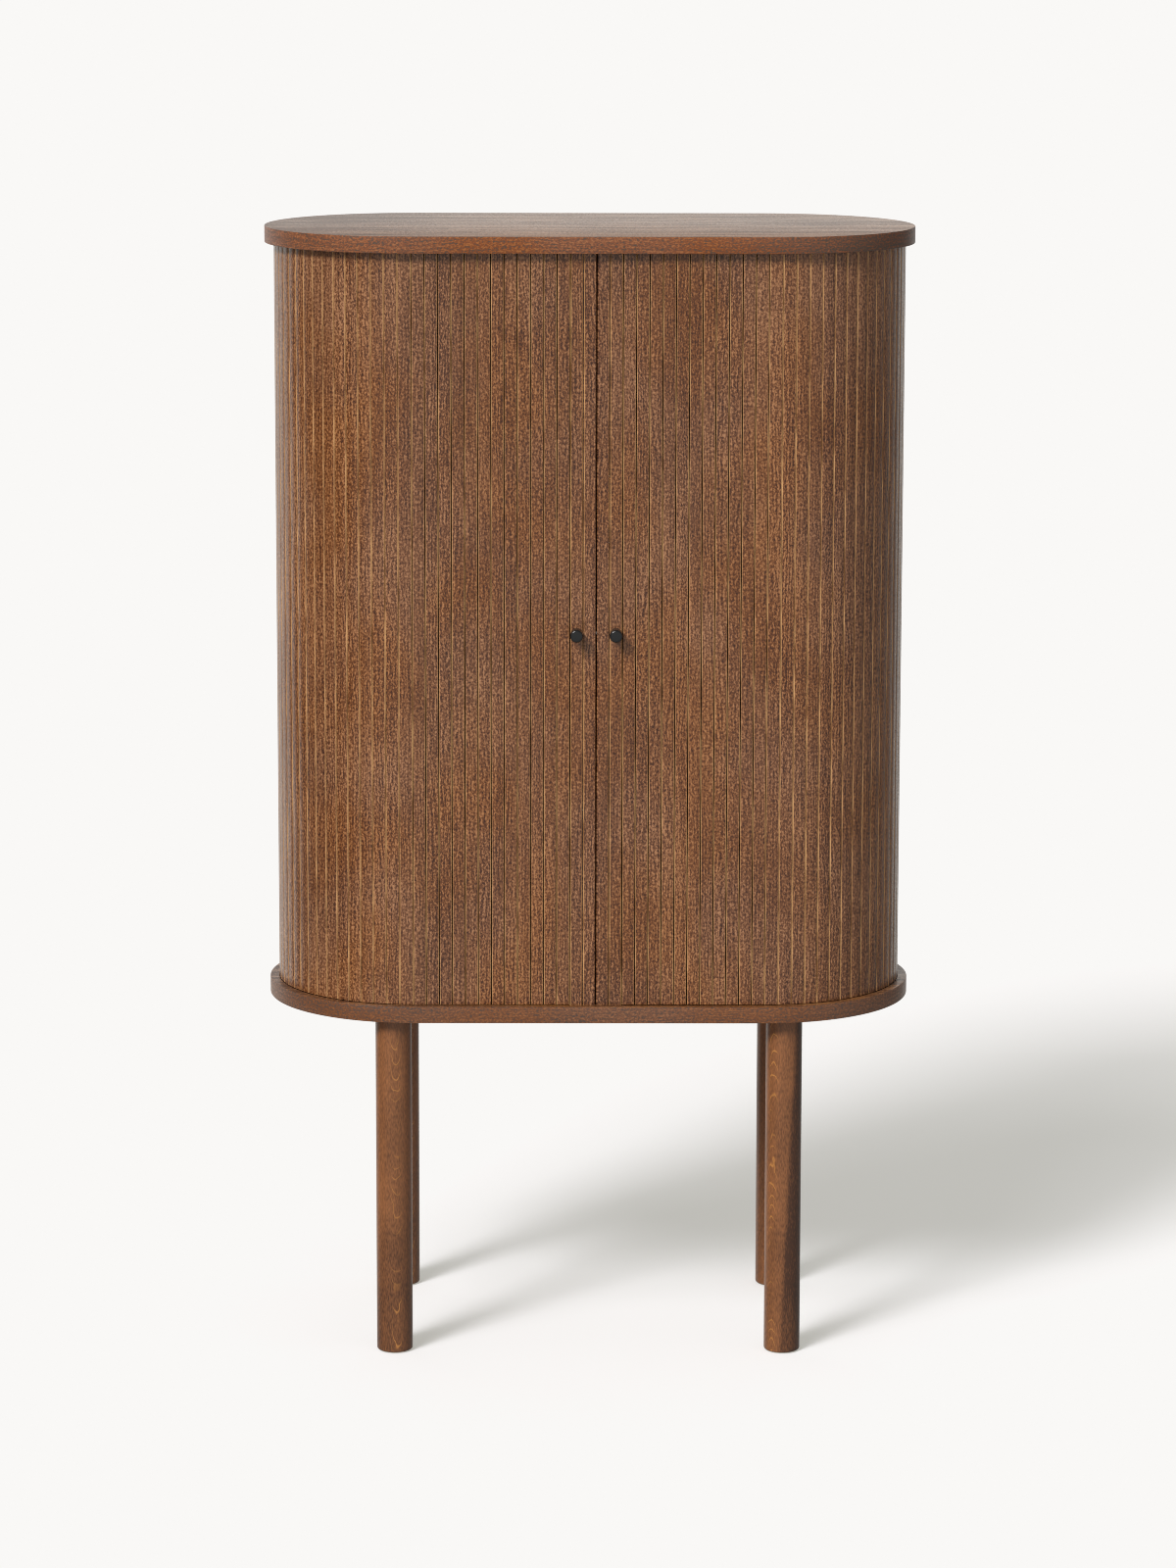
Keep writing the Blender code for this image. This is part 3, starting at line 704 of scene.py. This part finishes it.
# %% Measure along a plate
def end_angle(point):
    """The angle round the nearest end, counted from the front: none on the flat front and pi on the back."""
    across = max(abs(point.x) - half_straight, 0)
    return math.atan2(across, centre_y - point.y)


def run_along(point):
    """Distance along the run from the middle of the front, round an end and over the back."""
    towards = math.copysign(1, point.x)
    if abs(point.x) > half_straight:
        return towards * (half_straight + end_radius * end_angle(point))
    if point.y > centre_y:
        return towards * (2 * half_straight + end_radius * math.pi) - point.x
    return point.x


def plate_grain(point, normal):
    """Grain lengthways on the flat faces, and along the lipping on the edge."""
    if abs(normal.z) > 0.9:
        return point.y, point.x
    if normal.y > 0.3 and abs(normal.x) < 0.01:
        return point.z, 2 * half_straight + end_radius * math.pi - point.x
    return point.z, run_along(point)


print(f"half way round a plate's edge is {2 * half_straight + end_radius * math.pi:.3f} m")

# %% [markdown]
# For the outline a vertex is spun through half a turn at each end, and the two chains are joined by
# straight sides. The face is raised to the plate's thickness and its outer edges are eased.

# %% Outline of a plate
turn_steps = 72
plate_ease = 0.0008


def only_verts(geom):
    """The vertices among what an operator made."""
    return [item for item in geom if isinstance(item, bmesh.types.BMVert)]


def raise_outline(inner, outer):
    """A bmesh of the plate between two levels, with its edges eased and its rim in the second material."""
    bm = bmesh.new()
    ends = []
    for towards in (1, -1):
        centre = Vector((towards * half_straight, centre_y, inner))
        start = bm.verts.new(centre - Vector((0, towards * end_radius, 0)))
        spun = bmesh.ops.spin(
            bm, geom=[start], cent=centre, axis=(0, 0, 1), angle=math.pi, steps=turn_steps,
            use_merge=False,
        )
        ends.append((start, only_verts(spun["geom_last"])[0]))
    bmesh.ops.contextual_create(bm, geom=[ends[0][1], ends[1][0]])
    bmesh.ops.contextual_create(bm, geom=[ends[1][1], ends[0][0]])
    bmesh.ops.edgeloop_fill(bm, edges=bm.edges)
    raised = bmesh.ops.extrude_face_region(bm, geom=bm.faces[:], use_keep_orig=True)["geom"]
    bmesh.ops.translate(bm, verts=only_verts(raised), vec=(0, 0, outer - inner))
    bmesh.ops.recalc_face_normals(bm, faces=bm.faces)
    rims = [e for e in bm.edges if abs(e.verts[0].co.z - e.verts[1].co.z) < near]
    ease_edges(bm, rims, plate_ease, segments=3)
    bm.normal_update()
    for face in bm.faces:
        if abs(face.normal.z) < 0.95:
            face.material_index = 1
    return bm


# %% [markdown]
# The track and the back panel's groove are rings of even width, so the inner face is inset four times and
# the right rings are sunk. The groove lies behind, and the track leaves out the flat back. The packed
# plates also have housings for the inner sides. The inner sides fill them, so they never show and aren't
# drawn here.

# %% Mill the plates
ring_lines = [0.1948, 0.1902, 0.1881, 0.1789]
back_groove_ring, track_ring = 1, 3
back_groove_start = math.radians(106.5)
let_in_depth, track_depth = 0.005, 0.006


def is_back_straight(face):
    """True for a ring's face along the flat back."""
    middle = face.calc_center_median()
    return abs(middle.x) < half_straight and middle.y > centre_y


def sink(bm, faces, depth):
    """Pushes faces into the plate, with walls down to them."""
    made = bmesh.ops.extrude_face_region(bm, geom=faces)["geom"]
    bmesh.ops.translate(bm, verts=only_verts(made), vec=(0, 0, depth))
    bmesh.ops.delete(bm, geom=[f for f in faces if f.is_valid], context="FACES_ONLY")


def model_plate(node, into):
    """A plate whose inner face looks down (into 1) or up (into -1)."""
    low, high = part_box(node)
    bm = raise_outline(low.z, high.z) if into > 0 else raise_outline(high.z, low.z)
    field = next(f for f in bm.faces if f.normal.z * into < -0.99)
    rings, line = [], end_radius - plate_ease
    for radius in ring_lines:
        made = bmesh.ops.inset_region(
            bm, faces=[field], thickness=line - radius, use_boundary=True, use_even_offset=True
        )
        rings.append(made["faces"])
        line = radius
    groove = [f for f in rings[back_groove_ring] if end_angle(f.calc_center_median()) > back_groove_start]
    track = [f for f in rings[track_ring] if not is_back_straight(f)]
    sink(bm, groove, into * let_in_depth)
    sink(bm, track, into * track_depth)
    bm.normal_update()
    lay_grain(bm, plate_grain)
    return bm


for node, into, edging in (("top_plate", 1, upper_edging), ("bottom_plate", -1, lower_edging)):
    bm = model_plate(node, into)
    piece = make_piece(node + "_lipped", bm, node, [top_veneer, edging], crisp=20)
    print(piece.name, len(piece.data.polygons), "faces")

# %% [markdown]
# ## The back panel
#
# A thin sheet of plywood bends round the back. Its line in plan is spun like the plates' outline, pulled
# up to the full height, and then given its thickness. Its grain stands upright, so it is measured across
# the grain from the middle of the back.

# %% Model the back panel
panel_thickness = 0.004


def back_along(point):
    """Distance along the panel from the middle of the back, round its corners."""
    if abs(point.x) > half_straight:
        return math.copysign(1, point.x) * (half_straight + end_radius * (math.pi - end_angle(point)))
    return point.x


def model_back():
    """The bent panel, with upright grain."""
    low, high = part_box("back_panel")
    radius = high.y - centre_y
    bm = bmesh.new()
    ends = []
    for towards in (1, -1):
        centre = Vector((towards * half_straight, centre_y, low.z))
        outwards = Vector((towards * math.sin(back_groove_start), -math.cos(back_groove_start), 0))
        start = bm.verts.new(centre + outwards * radius)
        spun = bmesh.ops.spin(
            bm, geom=[start], cent=centre, axis=(0, 0, 1), angle=towards * (math.pi - back_groove_start),
            steps=turn_steps // 3, use_merge=False,
        )
        ends.append(only_verts(spun["geom_last"])[0])
    bmesh.ops.contextual_create(bm, geom=ends)
    pulled = bmesh.ops.extrude_edge_only(bm, edges=bm.edges)["geom"]
    bmesh.ops.translate(bm, verts=only_verts(pulled), vec=(0, 0, high.z - low.z))
    bmesh.ops.recalc_face_normals(bm, faces=bm.faces)
    bm.normal_update()
    if sum(f.normal.y for f in bm.faces) < 0:
        bmesh.ops.reverse_faces(bm, faces=bm.faces)
    bmesh.ops.solidify(bm, geom=bm.faces[:], thickness=panel_thickness)
    bm.normal_update()
    lay_grain(bm, lambda point, normal: (back_along(point), point.z))
    return bm


back = make_piece("back_panel_bent", model_back(), "back_panel", [inner_veneer])
print(back.name, len(back.data.polygons), "faces")

# %% [markdown]
# ## Legs and knobs
#
# Both are turned on a lathe, and so are these: a profile of edges is spun through a full turn. The leg's
# foot and the knob's face have rounded edges, which are bevelled once the turning is done.


# %% Turn a profile
def turn_profile(profile, centre, axis, steps):
    """A closed turned shape: profile points (radius, height) spun round an axis through a centre."""
    bm = bmesh.new()
    out = Vector((1, 0, 0))
    verts = [bm.verts.new(Vector(centre) + out * r + Vector(axis) * h) for r, h in profile]
    edges = [bm.edges.new(pair) for pair in zip(verts, verts[1:])]
    bmesh.ops.spin(
        bm, geom=verts + edges, cent=centre, axis=axis, angle=math.tau, steps=steps, use_merge=True
    )
    bmesh.ops.remove_doubles(bm, verts=bm.verts, dist=merge_distance)
    bmesh.ops.recalc_face_normals(bm, faces=bm.faces)
    return bm


def round_rim(bm, centre, axis, radius, height, offset, segments):
    """Rounds the ring of edges at one radius and height."""

    def on_rim(vert):
        away = vert.co - Vector(centre)
        up = away.dot(Vector(axis))
        aside = (away - Vector(axis) * up).length
        return abs(up - height) < merge_distance and abs(aside - radius) < merge_distance

    ease_edges(bm, [e for e in bm.edges if all(on_rim(v) for v in e.verts)], offset, segments)
    bm.normal_update()


# %% [markdown]
# A leg is a plain cylinder with a rounded foot, and a recess under it for the glide. Each has its own
# figure: the pith lies behind it, turned some degrees to one side, and leans towards it or away, so the
# arches point down or up. Two legs have painted shade on their side away from the light, and some are
# darker towards the foot.

# %% Turn the legs
foot_round = 0.003
glide_recess, glide_recess_top = 0.0133, 0.0053
# The darkness of one side is painted shade, on the right side, away from the light
leg_figures = {  # degrees to one side, lean, darkness of one side and of the foot
    "front_left": (8, 0.07, 0, 0.2),
    "front_right": (-38, -0.085, 0.34, 0),
    "rear_left": (30, 0.07, 0, 0.1),
    "rear_right": (-15, -0.09, 0.4, 0.05),
}
for corner, (pith_turn, lean, painted_side_shade, dark_foot) in leg_figures.items():
    node = corner + "_leg"
    low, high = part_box(node)
    x, y, radius = (low.x + high.x) / 2, (low.y + high.y) / 2, (high.x - low.x) / 2
    profile = [(0, high.z), (radius, high.z), (radius, low.z), (glide_recess, low.z)]
    profile += [(glide_recess, glide_recess_top), (0, glide_recess_top)]
    bm = turn_profile(profile, (x, y, 0), (0, 0, 1), steps=64)
    round_rim(bm, (x, y, 0), (0, 0, 1), radius, low.z, foot_round, segments=6)
    beech = make_beech(f"stained_beech_{corner}", x, y, math.radians(pith_turn), lean, painted_side_shade, dark_foot)
    make_piece(node + "_turned", bm, node, [beech])
print("legs turned:", len(leg_figures))

# %% [markdown]
# A knob is a short cylinder, slightly thinner where it meets the door, with a rounded face and a bore for
# its screw.

# %% Turn the knobs
knob_edge, knob_taper = 0.0028, 0.00075
bore, bore_depth = 0.0023, 0.0123
for side in sides:
    node = side + "_knob"
    low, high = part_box(node)
    x, z, radius, length = (low.x + high.x) / 2, (low.z + high.z) / 2, (high.x - low.x) / 2, high.y - low.y
    profile = [(0, length), (radius, length), (radius - knob_taper, 0)]
    profile += [(bore, 0), (bore, bore_depth), (0, bore_depth)]
    bm = turn_profile(profile, (x, high.y, z), (0, -1, 0), steps=48)
    round_rim(bm, (x, high.y, z), (0, -1, 0), radius, length, knob_edge, segments=4)
    make_piece(node + "_turned", bm, node, [black_lacquer])
print("knobs turned:", len(sides))

# %% [markdown]
# ## What stays as packed
#
# The pins, screws, bolts, magnets and glides have the right shape, so they only take their finish. A
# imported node's material is changed by assigning to its object's slot.

# %% Finish the small parts
small_finishes = {"_glide": moulded_nylon}
small_finishes |= dict.fromkeys(("_pin_", "_screw", "_bolt", "_magnet"), plated_steel)
for node, obj in frame["nodes"].items():
    for part, finish in small_finishes.items():
        if part in node:
            for slot in obj.material_slots:
                slot.material = finish
print("small parts finished")

# %% [markdown]
# ## Floor, light and camera
#
# The cabinet stands on a white floor, which fades into a white background. The floor is kept out of
# bounced light and out of reflections, because so wide a white floor would fill every shadow and lay a
# grey veil over the slats at both ends. It shines a little itself, and both its colours were set so that
# the lit floor comes out in the photograph's white.

# %% Floor
floor_reach = 150
bm = bmesh.new()
bmesh.ops.create_grid(bm, x_segments=1, y_segments=1, size=floor_reach)
floor_mesh = bpy.data.meshes.new("studio_floor")
bm.to_mesh(floor_mesh)
bm.free()
floor = bpy.data.objects.new("studio_floor", floor_mesh)
bpy.context.scene.collection.objects.link(floor)
floor.visible_diffuse = floor.visible_glossy = False

floor_paint, tree = start_material("white_studio_floor")
inputs = {"Base Color": "CFCED5", "Roughness": 1.0, "Specular IOR Level": 0.0}
inputs |= {"Emission Color": "FFFFF2", "Emission Strength": 0.333}
shader = add_node(tree, "BsdfPrincipled", inputs)
add_node(tree, "OutputMaterial", {"Surface": shader.outputs[0]})
floor_mesh.materials.append(floor_paint)

# %% [markdown]
# The room is painted on the world by direction. It is dim at the left, a little lighter at the right, and
# lighter still behind the camera. A white wall stands behind the cabinet: the top and the slats at both
# ends are seen at a shallow angle, and so they shine with it. The ceiling is dim, and what lies below the
# horizon is as pale as a floor in shade. The camera itself sees plain white.
#
# Each of these is one step in a loop. It blends two brightnesses as a direction's share goes from one
# value to another, and `None` stands for the brightness that the steps before it have given.

# %% Studio walls and ceiling
towards_camera, towards_wall = (0.2, -0.98, 0), (-0.23, 0.97, 0)
world = bpy.data.worlds.new("studio")
bpy.context.scene.world = world
world.use_nodes = True
tree = world.node_tree
tree.nodes.clear()
direction = add_node(tree, "TexCoord").outputs["Generated"]
axes = add_node(tree, "SeparateXYZ", {"Vector": direction}).outputs
shares = []
for way in (towards_camera, towards_wall):
    share = add_node(tree, "VectorMath", {0: direction, 1: way}, operation="DOT_PRODUCT")
    shares.append(share.outputs["Value"])
blends = {
    "left to right": (axes["X"], -0.8, 0.7, 0.14, 0.29),
    "behind the camera": (shares[0], 0.1, 0.9, None, 0.62),
    "white wall": (shares[1], 0.63, 0.75, None, 0.97),
    "ceiling": (axes["Z"], 0.25, 0.6, None, 0.3),
    "below": (axes["Z"], -0.5, -0.25, 0.45, None),
}
walls = None
for share, start, stop, before, after in blends.values():
    inputs = {"Value": share, "From Min": start, "From Max": stop}
    inputs["To Min"] = walls if before is None else before
    inputs["To Max"] = walls if after is None else after
    walls = add_node(tree, "MapRange", inputs, interpolation_type="SMOOTHSTEP").outputs[0]
studio = add_node(tree, "Background", {"Color": "FFFDF8", "Strength": walls})
seen = add_node(tree, "Background", {"Color": "FFFFFF", "Strength": 1.1})
to_camera = add_node(tree, "LightPath").outputs["Is Camera Ray"]
mixed = add_node(tree, "MixShader", {0: to_camera, 1: studio.outputs[0], 2: seen.outputs[0]})
add_node(tree, "OutputWorld", {"Surface": mixed.outputs[0]})
print("room:", ", ".join(blends))

# %% [markdown]
# Two soft boxes stand left of the camera, one above the other. The lower one gives a little over half of
# the light. It is smaller, and draws the shadows of the knobs and the feet. The upper one is broad, and
# lets the shadow of the top fade over a hand's width. Their places were worked out from the shadow on the
# floor.

# %% Main lights
lamp_colour = (1.0, 0.985, 0.955)
main_lights = {  # degrees from the front towards the right, height and breadth in degrees, strength
    "lower_soft_box": (-37, 37, 14, 1.95),
    "upper_soft_box": (-36, 42.5, 28, 1.5),
}
for name, (*angles, strength) in main_lights.items():
    light_turn, light_height, light_breadth = (math.radians(angle) for angle in angles)
    sun = bpy.data.lights.new(name, "SUN")
    sun.energy = strength
    sun.color = lamp_colour
    sun.angle = light_breadth
    lamp = bpy.data.objects.new(name, sun)
    bpy.context.scene.collection.objects.link(lamp)
    level = Vector((math.sin(light_turn), -math.cos(light_turn), 0)) * math.cos(light_height)
    towards_light = level + Vector((0, 0, math.sin(light_height)))
    lamp.rotation_euler = towards_light.to_track_quat("Z", "Y").to_euler()
    print(name, "at", *angles[:2], "degrees")

# %% [markdown]
# The camera's place and lens were worked out from the picture's edges: the plates' outlines and the legs
# fix it to about a pixel. The picture's middle isn't on the lens's axis, so the lens is shifted. The
# pixel filter is narrower than usual, because the fine lines of the grooves are as crisp as one pixel.

# %% Camera
picture_height, sensor = 1600, 36
focal_pixels, axis_row = 5072.9, 640
camera_place = (-0.0262, -6.60415 + centre_y, 2.02796)
pitch, yaw, roll = 0.16058, 0.00373, 0.00181
camera_data = bpy.data.cameras.new("camera")
camera_data.sensor_width = sensor
bpy.context.scene.cycles.filter_width = 1.0
camera_data.lens = focal_pixels / picture_height * sensor
camera_data.shift_y = -(picture_height / 2 - axis_row) / picture_height
camera = bpy.data.objects.new("camera", camera_data)
bpy.context.scene.collection.objects.link(camera)
forward = Vector((math.sin(yaw) * math.cos(pitch), math.cos(yaw) * math.cos(pitch), -math.sin(pitch)))
right = Vector((math.cos(yaw), -math.sin(yaw), 0))
up = right.cross(forward)
tilted_right = right * math.cos(roll) + up * math.sin(roll)
tilted_up = up * math.cos(roll) - right * math.sin(roll)
basis = Matrix((tilted_right, tilted_up, -forward)).transposed().to_4x4()
camera.matrix_world = Matrix.Translation(camera_place) @ basis
bpy.context.scene.camera = camera
print(f"lens {camera_data.lens:.1f} mm, shifted by {camera_data.shift_y:.3f}")

# %% [markdown]
# The print's white is a warm 249, 248, 246, and everything brighter stays at it, so that the floor runs
# into the background without a line. The curves of the view settings do that: straight up to the white,
# and level beyond it.

# %% Print white
print_white = linear("F9F8F6")[:3]
settings = bpy.context.scene.view_settings
settings.view_transform = "Standard"
settings.use_curve_mapping = True
mapping = settings.curve_mapping
mapping.extend = "HORIZONTAL"
mapping.clip_max_x = mapping.clip_max_y = 1
for curve, white in zip(mapping.curves[:3], print_white):
    curve.points[1].location = (white, white)
mapping.update()
print("white:", [round(white, 3) for white in print_white])
